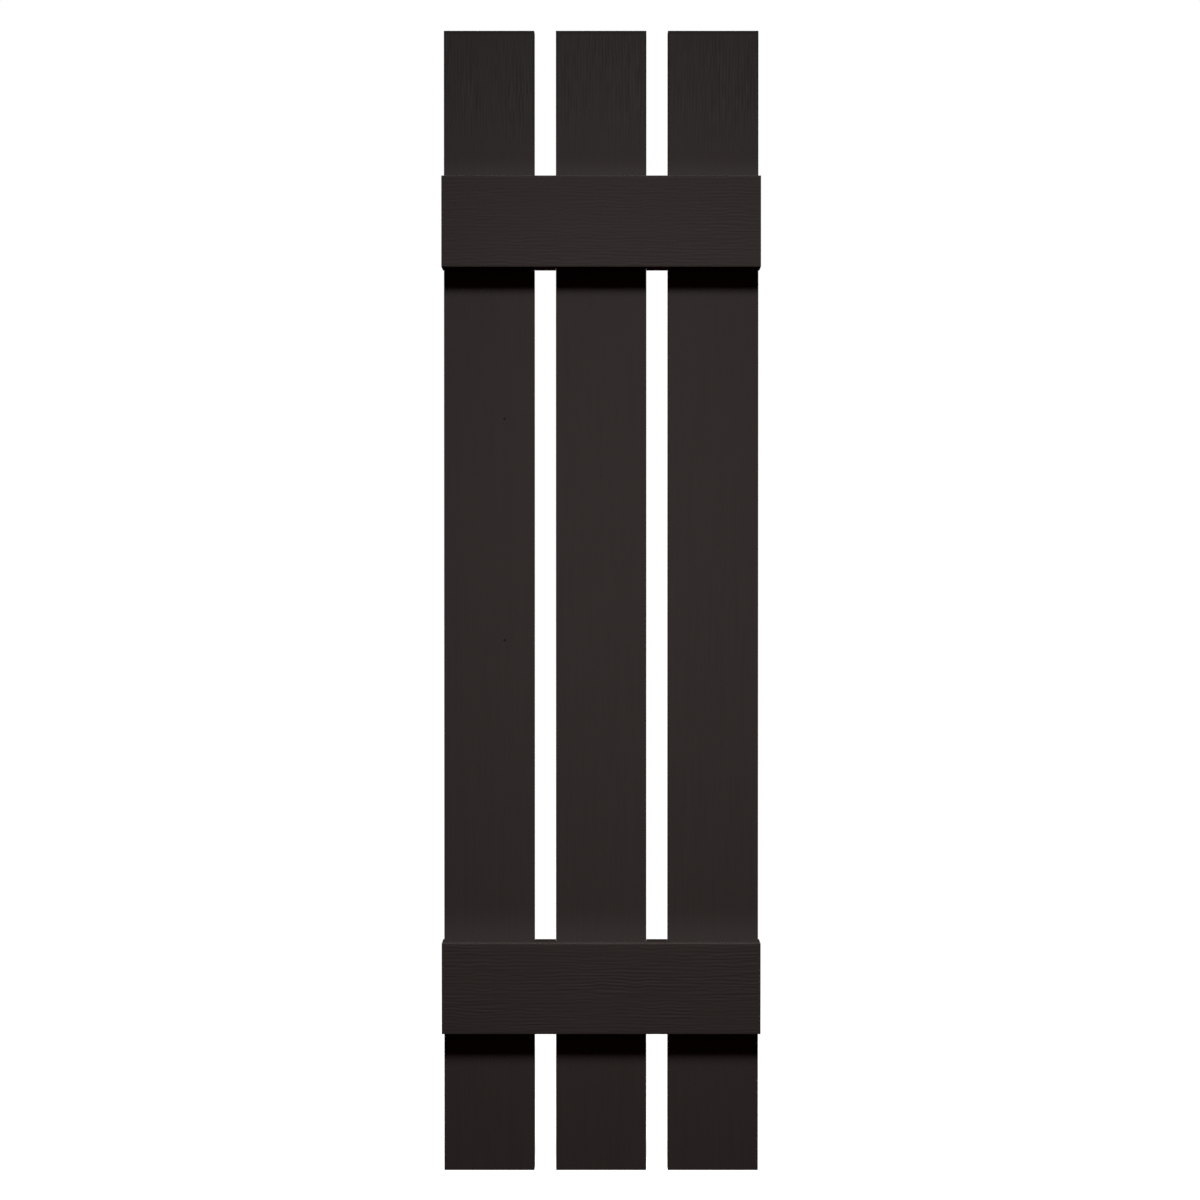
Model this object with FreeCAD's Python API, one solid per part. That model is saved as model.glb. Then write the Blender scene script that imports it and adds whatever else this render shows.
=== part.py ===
"""Spaced board and batten shutter, moulded in plastic with a wood grain face.

Three upright boards stand side by side with daylight between them. Each board is an open-backed
tray with a ribbed hollow. Two battens cross them in front. A batten is a deep cap: its long walls
are notched to saddle the boards, the tongues left between the notches hold the boards apart, and its
end walls wrap the outer boards. Posts moulded in the batten pass through the boards and are
headed over behind them, so no fastener shows in front.

Frame, in millimetres: the wall plane is y = 0 and the shutter's face looks along -Y. X runs to the
right as the face is seen, Z is up, and the origin is at the middle of the wall plane.
"""

import FreeCAD
import Part
import math
import os

# Boards
BOARD_LENGTH = 1092.2
BOARD_WIDTH = 86.8
BOARD_GAP = 20.4
BOARD_THICKNESS = 12.7
BOARD_WALL = 1.8
BOARD_SKIN = 2.0
BOARD_NAMES = ("left_board", "middle_board", "right_board")

# Battens
BATTEN_HEIGHT = 87.4
BATTEN_PROUD = 12.7
BATTEN_WALL = 1.6
BATTEN_SKIN = 2.0
UPPER_BATTEN_DROP = 140.2
LOWER_BATTEN_RISE = 133.0
FIT_CLEARANCE = 0.2

# Stiffening ribs
RIB_THICKNESS = 1.5
RIB_PITCH = 84.0

# Posts that hold a batten to each board
POST_SPREAD = 42.0
POST_RADIUS = 3.0
POST_CLEARANCE = 0.2
BOSS_RADIUS = 5.0
HEAD_RADIUS = 5.5
HEAD_TOP_RADIUS = 4.2
HEAD_HEIGHT = 2.2

# Moulding
DRAFT_DEG = 0.5
EDGE_RADIUS = 0.5

# Worked out from the sizes above
DRAFT = math.tan(math.radians(DRAFT_DEG))
BOARD_PITCH = BOARD_WIDTH + BOARD_GAP
BOARD_CENTRES = [(i - (len(BOARD_NAMES) - 1) / 2) * BOARD_PITCH for i in range(len(BOARD_NAMES))]
BOARDS_SPAN = BOARD_CENTRES[-1] - BOARD_CENTRES[0] + BOARD_WIDTH
BATTEN_WIDTH = BOARDS_SPAN + 2 * (FIT_CLEARANCE + BATTEN_WALL)
TOTAL_DEPTH = BOARD_THICKNESS + BATTEN_PROUD
BATTEN_CENTRES = {
    "upper_batten": BOARD_LENGTH / 2 - UPPER_BATTEN_DROP - BATTEN_HEIGHT / 2,
    "lower_batten": -BOARD_LENGTH / 2 + LOWER_BATTEN_RISE + BATTEN_HEIGHT / 2,
}
TOWARDS_WALL = FreeCAD.Vector(0, 1, 0)


def drafted_block(x, z, width, height, depth):
    """A block on the wall plane, width by height there, that narrows by the draft towards the front."""
    left, right = x - width / 2, x + width / 2
    low, high = z - height / 2, z + height / 2
    inset = depth * DRAFT
    return Part.makeWedge(
        left + inset, -depth, low + inset, low, left, right - inset, 0, high - inset, high, right
    )


def rounded_block(x, z, width, height, depth):
    """A drafted block with its front edges and its corners rounded."""
    block = drafted_block(x, z, width, height, depth)
    middle = depth / 2
    edges = [edge for edge in block.Edges if max(-v.Point.y for v in edge.Vertexes) > middle]
    return block.makeFillet(EDGE_RADIUS, edges)


def upright_box(x, z, width, height, back, front):
    """A plain box centred on x and z, between two depths in front of the wall."""
    corner = FreeCAD.Vector(x - width / 2, -front, z - height / 2)
    return Part.makeBox(width, front - back, height, corner)


def even_levels(low, high):
    """The heights that divide a stretch into equal cells of about one rib pitch, ends left out."""
    cells = max(1, round((high - low) / RIB_PITCH))
    return [low + (high - low) * i / cells for i in range(1, cells)]


def rib_levels():
    """The heights of a board's cross ribs: behind each batten's edges, and evenly in between."""
    edges = sorted(z + side * BATTEN_HEIGHT / 2 for z in BATTEN_CENTRES.values() for side in (-1, 1))
    ends = [-BOARD_LENGTH / 2, *edges, BOARD_LENGTH / 2]
    open_stretches = zip(ends[0::2], ends[1::2])
    return edges + [level for low, high in open_stretches for level in even_levels(low, high)]


def post_places(board_x, batten_z):
    """The x and z of the two posts that hold a batten to one board."""
    return [(board_x + side * POST_SPREAD / 2, batten_z) for side in (-1, 1)]


def make_board(x):
    """An open-backed tray with a long centre rib, cross ribs and holes for the batten posts."""
    hollow_depth = BOARD_THICKNESS - BOARD_SKIN
    inner_width = BOARD_WIDTH - 2 * BOARD_WALL
    inner_length = BOARD_LENGTH - 2 * BOARD_WALL
    hollow = drafted_block(x, 0, inner_width, inner_length, hollow_depth)
    ribs = [upright_box(x, 0, RIB_THICKNESS, BOARD_LENGTH, 0, BOARD_THICKNESS)]
    for z in rib_levels():
        ribs.append(upright_box(x, z, BOARD_WIDTH, RIB_THICKNESS, 0, BOARD_THICKNESS))
    tray = rounded_block(x, 0, BOARD_WIDTH, BOARD_LENGTH, BOARD_THICKNESS)
    board = tray.cut(hollow.cut(ribs))
    hole_radius = POST_RADIUS + POST_CLEARANCE
    for batten_z in BATTEN_CENTRES.values():
        for post_x, post_z in post_places(x, batten_z):
            front = FreeCAD.Vector(post_x, -BOARD_THICKNESS, post_z)
            board = board.cut(Part.makeCylinder(hole_radius, BOARD_THICKNESS, front, TOWARDS_WALL))
    return board


def make_post(x, z):
    """A boss that stops on the board's face, a post through the board and a flared head behind it."""
    root = -TOTAL_DEPTH + BATTEN_SKIN / 2
    face = -BOARD_THICKNESS
    seat = face + BOARD_SKIN
    crown = seat + HEAD_HEIGHT
    outline = [
        (0, root),
        (BOSS_RADIUS, root),
        (BOSS_RADIUS, face),
        (POST_RADIUS, face),
        (POST_RADIUS, seat),
        (HEAD_RADIUS, seat),
        (HEAD_TOP_RADIUS, crown),
        (0, crown),
        (0, root),
    ]
    points = [FreeCAD.Vector(x + radius, y, z) for radius, y in outline]
    profile = Part.Face(Part.makePolygon(points))
    return profile.revolve(FreeCAD.Vector(x, 0, z), TOWARDS_WALL, 360)


def make_batten(z):
    """A deep cap notched over the boards, ribbed inside, with posts that hold it to each board."""
    hollow_depth = TOTAL_DEPTH - BATTEN_SKIN
    inner_width = BATTEN_WIDTH - 2 * BATTEN_WALL
    inner_height = BATTEN_HEIGHT - 2 * BATTEN_WALL
    hollow = drafted_block(0, z, inner_width, inner_height, hollow_depth)
    ribs = [upright_box(0, z, BATTEN_WIDTH, RIB_THICKNESS, BOARD_THICKNESS, TOTAL_DEPTH)]
    for x in BOARD_CENTRES:
        ribs.append(upright_box(x, z, RIB_THICKNESS, BATTEN_HEIGHT, BOARD_THICKNESS, TOTAL_DEPTH))
    cap = rounded_block(0, z, BATTEN_WIDTH, BATTEN_HEIGHT, TOTAL_DEPTH)
    batten = cap.cut(hollow.cut(ribs))
    channel_width = BOARD_WIDTH + 2 * FIT_CLEARANCE
    channels = [drafted_block(x, 0, channel_width, BOARD_LENGTH, BOARD_THICKNESS) for x in BOARD_CENTRES]
    posts = [make_post(*place) for x in BOARD_CENTRES for place in post_places(x, z)]
    return batten.cut(channels).fuse(posts).removeSplitter()


def main():
    os.makedirs("parts", exist_ok=True)
    shapes = {name: make_board(x) for name, x in zip(BOARD_NAMES, BOARD_CENTRES)}
    shapes.update({name: make_batten(z) for name, z in BATTEN_CENTRES.items()})
    for name, shape in shapes.items():
        shape.exportStep(f"parts/{name}.step")
        box = shape.BoundBox
        print(
            name,
            "valid" if shape.isValid() else "NOT VALID",
            f"solids {len(shape.Solids)}, volume {shape.Volume / 1000:.1f} cm3,",
            f"size {box.XLength:.2f} x {box.YLength:.2f} x {box.ZLength:.2f} mm",
        )


main()
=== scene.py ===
"""Looks of the board and batten shutter: embossed wood grain, matte plastic, studio light and camera.

Everything is in metres in the part's own frame: the wall plane is y = 0, the face looks along -Y,
and Z is up.
"""

import math

import bmesh
import bpy
import numpy as np
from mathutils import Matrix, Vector


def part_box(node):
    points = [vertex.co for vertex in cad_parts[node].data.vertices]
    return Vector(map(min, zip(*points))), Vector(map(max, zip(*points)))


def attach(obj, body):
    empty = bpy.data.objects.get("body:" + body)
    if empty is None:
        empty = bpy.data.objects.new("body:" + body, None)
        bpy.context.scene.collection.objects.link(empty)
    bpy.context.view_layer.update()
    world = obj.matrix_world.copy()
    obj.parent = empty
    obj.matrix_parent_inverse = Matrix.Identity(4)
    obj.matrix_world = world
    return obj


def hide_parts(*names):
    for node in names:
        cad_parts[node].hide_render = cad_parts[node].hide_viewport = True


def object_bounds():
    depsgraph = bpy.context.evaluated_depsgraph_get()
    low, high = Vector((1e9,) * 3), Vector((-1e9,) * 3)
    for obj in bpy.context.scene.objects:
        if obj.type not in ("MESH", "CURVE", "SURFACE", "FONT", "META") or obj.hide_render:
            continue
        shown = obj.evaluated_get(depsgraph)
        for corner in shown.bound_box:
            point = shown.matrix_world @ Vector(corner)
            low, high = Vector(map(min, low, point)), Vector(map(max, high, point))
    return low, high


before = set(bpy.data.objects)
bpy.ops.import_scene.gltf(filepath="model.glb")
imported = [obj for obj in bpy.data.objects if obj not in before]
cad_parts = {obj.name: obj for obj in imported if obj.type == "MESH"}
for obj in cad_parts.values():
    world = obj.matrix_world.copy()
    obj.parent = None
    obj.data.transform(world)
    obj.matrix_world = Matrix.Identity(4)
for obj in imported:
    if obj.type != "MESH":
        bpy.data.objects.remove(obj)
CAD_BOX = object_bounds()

MM = 0.001

BOARDS = ("left_board", "middle_board", "right_board")
BATTENS = ("upper_batten", "lower_batten")

# Embossed grain: its height on each piece, and its sizes along and across the lines
RELIEF = dict.fromkeys(BOARDS, 0.16 * MM) | {"upper_batten": 0.14 * MM, "lower_batten": 0.29 * MM}
BOARD_GRAIN = {
    "pitch": 3.1 * MM,
    "step": 3.5 * MM,
    "drift": 1.6 * MM,
    "drift_length": 210 * MM,
    "drift_width": 34 * MM,
    "line_length": 14 * MM,
    "patch_length": 60 * MM,
}
BATTEN_GRAIN = {
    "pitch": 3.3 * MM,
    "step": 2.5 * MM,
    "drift": 1.0 * MM,
    "drift_length": 90 * MM,
    "drift_width": 26 * MM,
    "line_length": 16 * MM,
    "patch_length": 60 * MM,
}
STEP_ACROSS = 0.45 * MM
PATCH_WIDTH = 14 * MM
PATCH_STRENGTH = (0.6, 0.4)
LINE_WANDER = 2.6
COMBED_SHARE = 0.20
BROKEN_SHARE = 0.30
BOARD_SEED = 100
BATTEN_SEED = 500
SEED_STEP = 10
NOISE_CELLS = 512

# The slab that carries the grain, and how it joins the plain face
EDGE_INSET = 0.8 * MM
EDGE_FADE = 1.2 * MM
EDGE_SINK = 0.02 * MM
SLAB_DEPTH = 1.0 * MM
MERGE_DISTANCE = 0.001 * MM
SMOOTH_ANGLE = math.radians(30)

# Plastic: its tone, streaked along the grain and clouded, its gloss and its pebbled skin
DARK_TONE = (0.0278, 0.0221, 0.0200, 1)
LIGHT_TONE = (0.0361, 0.0287, 0.0260, 1)
STREAK_SCALE = 420
STREAK_DETAIL = 3
STREAK_SHARE = 0.6
BOARD_STREAK = (1, 1, 0.03)
BATTEN_STREAK = (0.05, 1, 1)
CLOUD_SCALE = 22
CLOUD_DETAIL = 4
CLOUD_SHARE = 0.4
PEBBLE_SCALE = 1600
PEBBLE_DETAIL = 2
PEBBLE_STRENGTH = 0.35
PEBBLE_DEPTH = 0.05 * MM
ROUGHNESS = (0.58, 0.74)
SPECULAR_LEVEL = 0.25

# Painted shade on the side edges (which are also smoother), on each batten's up-facing ledge towards the
# boards, and in the grain's valleys above the upper batten; the boards painted lighter above the upper
# batten, and painted bounce light on the boards just above each ledge
# the dark tone of all the painted shade
SHADE_TONE = (0.009, 0.006, 0.005, 1)
# the pale tone of the painted bounce light and of the lighter board tops
PALE_TONE = (0.068, 0.060, 0.057, 1)
EDGE_WIDTH = 1.4 * MM
EDGE_SHADE = 0.5
# strength of the painted shade on the side edges
EDGE_POLISH = 0.12
TOP_RISE = 80 * MM
TOP_LIGHTENING = 0.32
VALLEY_SHADE = 0.68
LEDGE_BOUNCE = 0.36
BOUNCE_REACH = {"upper_batten": 22 * MM, "lower_batten": 36 * MM}
LEDGE_SHADE = 1.0
LEDGE_CORNER = 6 * MM
LEDGE_FACING = (0.6, 0.9)

# Two pinholes in the left board's face
PIT_PLACES = ((-92.4 * MM, 175.0 * MM), (-92.4 * MM, -37.0 * MM))
PIT_RADIUS = 1.7 * MM
PIT_TONE = (0.006, 0.005, 0.004, 1)

# Camera
CAMERA_PLACE = (-0.0011, -2.2875, 0.0214)
CAMERA_TILT = math.radians(0.50)
FOCAL_PIXELS = 2374
FRAME_PIXELS = 1200
SENSOR_MM = 36

# Light
KEY_PLACE = (0.04, -1.395, 2.51)
KEY_RADIUS = 0.355
KEY_STRETCH = 1.5
KEY_AIM = (0.045, 0.0, -0.21)
KEY_CONE = math.radians(20.1)
KEY_POWER = 562
# Where each sun stands, seen from the object, and its strength
SUNS = {
    "rear_sun": {"towards": (0.0, 1.0, 0.0), "strength": 2.0},
    "right_sun": {"towards": (0.985, 0.174, 0.0), "strength": 0.8},
    "left_sun": {"towards": (-0.985, 0.174, 0.0), "strength": 0.8},
}
SUN_WIDTH = math.radians(0.5)
AMBIENT = 0.03
AMBIENT_TONE = (1.0, 0.30, 0.22, 1)
WHITE = (1, 1, 1, 1)
FLOOR_TONE = (0.8, 0.8, 0.8, 1)
FLOOR_REACH = 30


def smooth_step(share):
    """Eases a share from 0 to 1 in and out."""
    return share * share * (3 - 2 * share)


def smooth_noise(seed, u, v):
    """Smooth random values from -1 to 1 that change once per unit of u and of v."""
    lattice = np.random.default_rng(seed).uniform(-1, 1, (NOISE_CELLS, NOISE_CELLS))
    low_u, low_v = np.floor(u).astype(int), np.floor(v).astype(int)
    share_u, share_v = smooth_step(u - low_u), smooth_step(v - low_v)
    row, next_row = low_u % NOISE_CELLS, (low_u + 1) % NOISE_CELLS
    column, next_column = low_v % NOISE_CELLS, (low_v + 1) % NOISE_CELLS
    first = lattice[row, column] * (1 - share_v) + lattice[row, next_column] * share_v
    second = lattice[next_row, column] * (1 - share_v) + lattice[next_row, next_column] * share_v
    return first * (1 - share_u) + second * share_u


def grain_height(seed, across, along, grain):
    """Height of the embossed grain over the plain face, as a share of its relief."""
    sway = smooth_noise(seed, across / grain["drift_width"], along / grain["drift_length"])
    line = (across + grain["drift"] * sway) / grain["pitch"]
    stretch = along / grain["line_length"]
    wander = LINE_WANDER * smooth_noise(seed + 1, line / 2, stretch)
    combed = np.cos(2 * np.pi * line + wander)
    broken = smooth_noise(seed + 2, 2 * line, stretch)
    patches = smooth_noise(seed + 3, across / PATCH_WIDTH, along / grain["patch_length"])
    strength = PATCH_STRENGTH[0] + PATCH_STRENGTH[1] * patches
    return 0.5 + (COMBED_SHARE * combed + BROKEN_SHARE * broken) * strength


def slab_faces(rows, columns):
    """Faces of a closed slab over a grid of points, and the grid's rim, whose points the back repeats."""
    index = np.arange(rows * columns).reshape(rows, columns)
    corners = [index[:-1, :-1], index[1:, :-1], index[1:, 1:], index[:-1, 1:]]
    front = np.stack(corners, axis=-1).reshape(-1, 4)
    rim = np.concatenate([index[:-1, 0], index[-1, :-1], index[:0:-1, -1], index[0, :0:-1]])
    back = np.arange(len(rim)) + index.size
    sides = np.stack([rim, back, np.roll(back, -1), np.roll(rim, -1)], axis=-1)
    return front.tolist() + sides.tolist() + [back[::-1].tolist()], rim


def relief_slab(node, seed, grain, along_z):
    """A closed slab set in a front face: its front carries the grain and its back lies inside the wall."""
    low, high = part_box(node)
    ranges = [(low.x, high.x), (low.z, high.z)]
    if not along_z:
        ranges.reverse()
    spans = [(a + EDGE_INSET, b - EDGE_INSET) for a, b in ranges]
    steps = (STEP_ACROSS, grain["step"])
    rows, columns = (round((b - a) / step) + 1 for (a, b), step in zip(spans, steps))
    lines = [np.linspace(a, b, count) for (a, b), count in zip(spans, (rows, columns))]
    across, along = np.meshgrid(*lines, indexing="ij")
    border = np.minimum(
        np.minimum(across - spans[0][0], spans[0][1] - across),
        np.minimum(along - spans[1][0], spans[1][1] - along),
    )
    fade = smooth_step(np.clip(border / EDGE_FADE, 0, 1))
    height = RELIEF[node] * grain_height(seed, across, along, grain) * fade - EDGE_SINK * (1 - fade)
    x, z = (across, along) if along_z else (along, across)
    points = np.stack([x, low.y - height, z], axis=-1).reshape(-1, 3)
    faces, rim = slab_faces(rows, columns)
    back = points[rim].copy()
    back[:, 1] = low.y + SLAB_DEPTH
    if not along_z:
        faces = [face[::-1] for face in faces]
    mesh = bpy.data.meshes.new(f"grain_of_{node}")
    mesh.from_pydata(np.concatenate([points, back]).tolist(), [], faces)
    slab = bpy.data.objects.new(mesh.name, mesh)
    bpy.context.scene.collection.objects.link(slab)
    return slab


def apply_modifiers(piece):
    """Puts the piece's mesh as its modifiers leave it in place of its plain one."""
    graph = bpy.context.evaluated_depsgraph_get()
    finished = bpy.data.meshes.new_from_object(
        piece.evaluated_get(graph), preserve_all_data_layers=True, depsgraph=graph
    )
    piece.modifiers.clear()
    piece.data = finished


def closed_mesh(node):
    """A copy of a CAD node's mesh with equal points merged and without the normals it came with."""
    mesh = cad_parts[node].data.copy()
    normals = mesh.attributes.get("custom_normal")
    if normals:
        mesh.attributes.remove(normals)
    shape = bmesh.new()
    shape.from_mesh(mesh)
    bmesh.ops.remove_doubles(shape, verts=shape.verts, dist=MERGE_DISTANCE)
    shape.to_mesh(mesh)
    shape.free()
    return mesh


def embossed(node, seed, grain, along_z):
    """A copy of a CAD node with wood grain embossed on its front face."""
    piece = bpy.data.objects.new(f"grained_{node}", closed_mesh(node))
    bpy.context.scene.collection.objects.link(piece)
    slab = relief_slab(node, seed, grain, along_z)
    union = piece.modifiers.new("grain", "BOOLEAN")
    union.operation = "UNION"
    union.solver = "MANIFOLD"
    union.object = slab
    apply_modifiers(piece)
    bpy.data.objects.remove(slab)
    piece.data.shade_smooth()
    piece.data.set_sharp_from_angle(angle=SMOOTH_ANGLE)
    flats = piece.modifiers.new("flats", "WEIGHTED_NORMAL")
    flats.keep_sharp = True
    apply_modifiers(piece)
    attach(piece, "root")
    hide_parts(node)
    return piece


class ShaderGraph:
    """Adds nodes to one material. An input is a plain value or another node's output."""

    def __init__(self, material):
        self.tree = material.node_tree

    def node(self, kind, inputs, output=0, **settings):
        made = self.tree.nodes.new(kind)
        for name, value in settings.items():
            setattr(made, name, value)
        for key, value in inputs.items():
            if isinstance(value, bpy.types.NodeSocket):
                self.tree.links.new(value, made.inputs[key])
            else:
                made.inputs[key].default_value = value
        return made.outputs[output]

    def axes(self, vector):
        """The x, y and z of a vector."""
        return [self.node("ShaderNodeSeparateXYZ", {0: vector}, axis) for axis in "XYZ"]

    def noise(self, place, scale, detail):
        inputs = {"Vector": place, "Scale": scale, "Detail": detail}
        return self.node("ShaderNodeTexNoise", inputs, "Fac")

    def math(self, operation, first, second=0.0):
        return self.node("ShaderNodeMath", {0: first, 1: second}, operation=operation)

    def times(self, first, second):
        return self.math("MULTIPLY", first, second)

    def ramp(self, value, start, end):
        """0 at start, 1 at end and smooth in between."""
        inputs = {"Value": value, "From Min": start, "From Max": end}
        return self.node("ShaderNodeMapRange", inputs, "Result", interpolation_type="SMOOTHSTEP")

    def spread(self, value, low, high):
        """Takes a value from 0 to 1 to the range from low to high."""
        inputs = {"Value": value, "To Min": low, "To Max": high}
        return self.node("ShaderNodeMapRange", inputs, "Result")

    def blend(self, share, first, second):
        """A colour that goes from the first to the second as the share grows."""
        return self.node("ShaderNodeMix", {0: share, 6: first, 7: second}, 2, data_type="RGBA")

    def link(self, output, shader, name):
        self.tree.links.new(output, shader.inputs[name])


def rim_mask(graph, value, start, end):
    """1 at both ends of a range and 0 away from them."""
    offset = graph.math("ABSOLUTE", graph.math("SUBTRACT", value, (start + end) / 2))
    half = (end - start) / 2
    return graph.ramp(offset, half - EDGE_WIDTH, half)


def top_end_mask(graph, z):
    """0 on a board up to the upper batten, growing to 1 above it."""
    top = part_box("upper_batten")[1].z
    return graph.ramp(z, top, top + TOP_RISE)


def bounce_light_mask(graph, z):
    """1 on a board just above each batten's ledge, fading upwards: where bounce light off the ledge is
    painted.
    """
    masks = []
    for batten, reach in BOUNCE_REACH.items():
        low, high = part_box(batten)
        fading = graph.ramp(z, high.z + reach, high.z)
        over_ledge = graph.ramp(z, low.z, high.z)
        masks.append(graph.times(fading, over_ledge))
    return graph.math("MAXIMUM", *masks)


def paint_board_light_and_shade(graph, node, axes, front, colour):
    """Paints a board lighter at its upper end, with painted shade in the upper end's grain valleys, and
    paints bounce light just above the ledges.
    """
    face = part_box(node)[0].y
    # the board painted lighter from the upper batten up
    top_end = graph.times(top_end_mask(graph, axes[2]), front)
    colour = graph.blend(graph.times(top_end, TOP_LIGHTENING), colour, PALE_TONE)
    # painted shade in the grain's valleys above the upper batten
    valley = graph.times(graph.ramp(axes[1], face - RELIEF[node], face), top_end)
    colour = graph.blend(graph.times(valley, VALLEY_SHADE), colour, SHADE_TONE)
    # painted bounce light on the board just above each batten's ledge
    bounce = graph.times(bounce_light_mask(graph, axes[2]), front)
    return graph.blend(graph.times(bounce, LEDGE_BOUNCE), colour, PALE_TONE)


def shaded_ledge(graph, node, axes, colour):
    """Paints shade on a batten's up-facing ledge, more towards the boards."""
    low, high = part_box(node)
    facing = graph.axes(graph.node("ShaderNodeNewGeometry", {}, "Normal"))
    # painted shade on the up-facing ledge, darker towards the boards
    ledge = graph.times(
        graph.ramp(facing[2], *LEDGE_FACING),
        graph.ramp(axes[1], low.y, high.y - LEDGE_CORNER),
    )
    return graph.blend(graph.times(ledge, LEDGE_SHADE), colour, SHADE_TONE)


def pitted(graph, node, place, colour):
    """Adds the dark pinholes to a board's face."""
    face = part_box(node)[0].y
    for pit_x, pit_z in PIT_PLACES:
        inputs = {0: place, 1: (pit_x, face, pit_z)}
        gap = graph.node("ShaderNodeVectorMath", inputs, "Value", operation="DISTANCE")
        colour = graph.blend(graph.ramp(gap, PIT_RADIUS, PIT_RADIUS / 2), colour, PIT_TONE)
    return colour


def plastic(node, along_z):
    """Matte plastic, streaked along the grain, with smoother edges, painted shade on the edges and ledges,
    painted light and shade on the boards, and a pebbled skin.
    """
    material = bpy.data.materials.new(f"plastic_{node}")
    material.use_nodes = True
    graph = ShaderGraph(material)
    low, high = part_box(node)
    place = graph.node("ShaderNodeTexCoord", {}, "Object")
    axes = graph.axes(place)
    scale = BOARD_STREAK if along_z else BATTEN_STREAK
    stretched = graph.node("ShaderNodeMapping", {"Vector": place, "Scale": scale})
    streaks = graph.noise(stretched, STREAK_SCALE, STREAK_DETAIL)
    cloud = graph.noise(place, CLOUD_SCALE, CLOUD_DETAIL)
    pebble = graph.noise(place, PEBBLE_SCALE, PEBBLE_DETAIL)
    tone = graph.math("ADD", graph.times(streaks, STREAK_SHARE), graph.times(cloud, CLOUD_SHARE))
    colour = graph.blend(tone, DARK_TONE, LIGHT_TONE)
    front = graph.ramp(axes[1], low.y + EDGE_WIDTH, low.y)
    edge = graph.times(graph.times(rim_mask(graph, axes[0], low.x, high.x), front), cloud)
    # painted shade along the side edges of each piece, mottled by the cloud
    colour = graph.blend(graph.times(edge, EDGE_SHADE), colour, SHADE_TONE)
    if node in BOARDS:
        colour = paint_board_light_and_shade(graph, node, axes, front, colour)
    else:
        colour = shaded_ledge(graph, node, axes, colour)
    if node == "left_board":
        colour = pitted(graph, node, place, colour)
    gloss = graph.math("SUBTRACT", graph.spread(streaks, *ROUGHNESS), graph.times(edge, EDGE_POLISH))
    bump = {"Strength": PEBBLE_STRENGTH, "Distance": PEBBLE_DEPTH, "Height": pebble}
    shader = material.node_tree.nodes["Principled BSDF"]
    shader.inputs["Specular IOR Level"].default_value = SPECULAR_LEVEL
    graph.link(colour, shader, "Base Color")
    graph.link(gloss, shader, "Roughness")
    graph.link(graph.node("ShaderNodeBump", bump), shader, "Normal")
    return material


def dress(node, seed, grain, along_z):
    """Replaces a CAD node by its embossed copy in plastic."""
    piece = embossed(node, seed, grain, along_z)
    piece.data.materials.clear()
    piece.data.materials.append(plastic(node, along_z))


def add_camera():
    camera = bpy.data.objects.new("camera", bpy.data.cameras.new("camera"))
    camera.data.sensor_width = SENSOR_MM
    camera.data.lens = SENSOR_MM * FOCAL_PIXELS / FRAME_PIXELS
    camera.location = CAMERA_PLACE
    camera.rotation_euler = (math.pi / 2 - CAMERA_TILT, 0, 0)
    bpy.context.scene.collection.objects.link(camera)
    bpy.context.scene.camera = camera


def place_light(light, place, target):
    """Hangs a light at a place and points it at a target."""
    lamp = bpy.data.objects.new(light.name, light)
    lamp.location = place
    lamp.rotation_euler = (Vector(target) - Vector(place)).to_track_quat("-Z", "Y").to_euler()
    bpy.context.scene.collection.objects.link(lamp)
    return lamp


def add_lights():
    """A wide soft key above the front, and a sun on each of the other sides."""
    key = bpy.data.lights.new("key", "SPOT")
    key.energy = KEY_POWER
    key.spot_size = KEY_CONE
    key.spot_blend = 1.0
    key.shadow_soft_size = KEY_RADIUS
    lamp = place_light(key, KEY_PLACE, KEY_AIM)
    lamp.scale.x = KEY_STRETCH
    for name, setting in SUNS.items():
        sun = bpy.data.lights.new(name, "SUN")
        sun.energy = setting["strength"]
        sun.angle = SUN_WIDTH
        place_light(sun, setting["towards"], (0, 0, 0))


def add_floor():
    """A plain white floor that carries the boards' lower ends."""
    mesh = bpy.data.meshes.new("floor")
    corners = [(-1, -1), (1, -1), (1, 1), (-1, 1)]
    points = [(FLOOR_REACH * x, FLOOR_REACH * y, CAD_BOX[0][2]) for x, y in corners]
    mesh.from_pydata(points, [], [(0, 1, 2, 3)])
    floor = bpy.data.objects.new("floor", mesh)
    bpy.context.scene.collection.objects.link(floor)
    material = bpy.data.materials.new("white_floor")
    material.use_nodes = True
    shader = material.node_tree.nodes["Principled BSDF"]
    shader.inputs["Base Color"].default_value = FLOOR_TONE
    shader.inputs["Emission Color"].default_value = WHITE
    shader.inputs["Emission Strength"].default_value = 1.0
    mesh.materials.append(material)
    floor.visible_diffuse = False
    floor.visible_glossy = False
    floor.visible_shadow = False


def set_world():
    """White behind the object, and dim to everything that the object reflects."""
    world = bpy.data.worlds.new("studio")
    bpy.context.scene.world = world
    world.use_nodes = True
    nodes, links = world.node_tree.nodes, world.node_tree.links
    dim = nodes["Background"]
    dim.inputs["Color"].default_value = AMBIENT_TONE
    dim.inputs["Strength"].default_value = AMBIENT
    white = nodes.new("ShaderNodeBackground")
    white.inputs["Color"].default_value = WHITE
    white.inputs["Strength"].default_value = 1.0
    path = nodes.new("ShaderNodeLightPath")
    mix = nodes.new("ShaderNodeMixShader")
    links.new(path.outputs["Is Camera Ray"], mix.inputs[0])
    links.new(dim.outputs[0], mix.inputs[1])
    links.new(white.outputs[0], mix.inputs[2])
    links.new(mix.outputs[0], nodes["World Output"].inputs["Surface"])


for number, node in enumerate(BOARDS):
    dress(node, BOARD_SEED + SEED_STEP * number, BOARD_GRAIN, True)
for number, node in enumerate(BATTENS):
    dress(node, BATTEN_SEED + SEED_STEP * number, BATTEN_GRAIN, False)
add_camera()
add_lights()
add_floor()
set_world()
bpy.context.scene.view_settings.view_transform = "Standard"
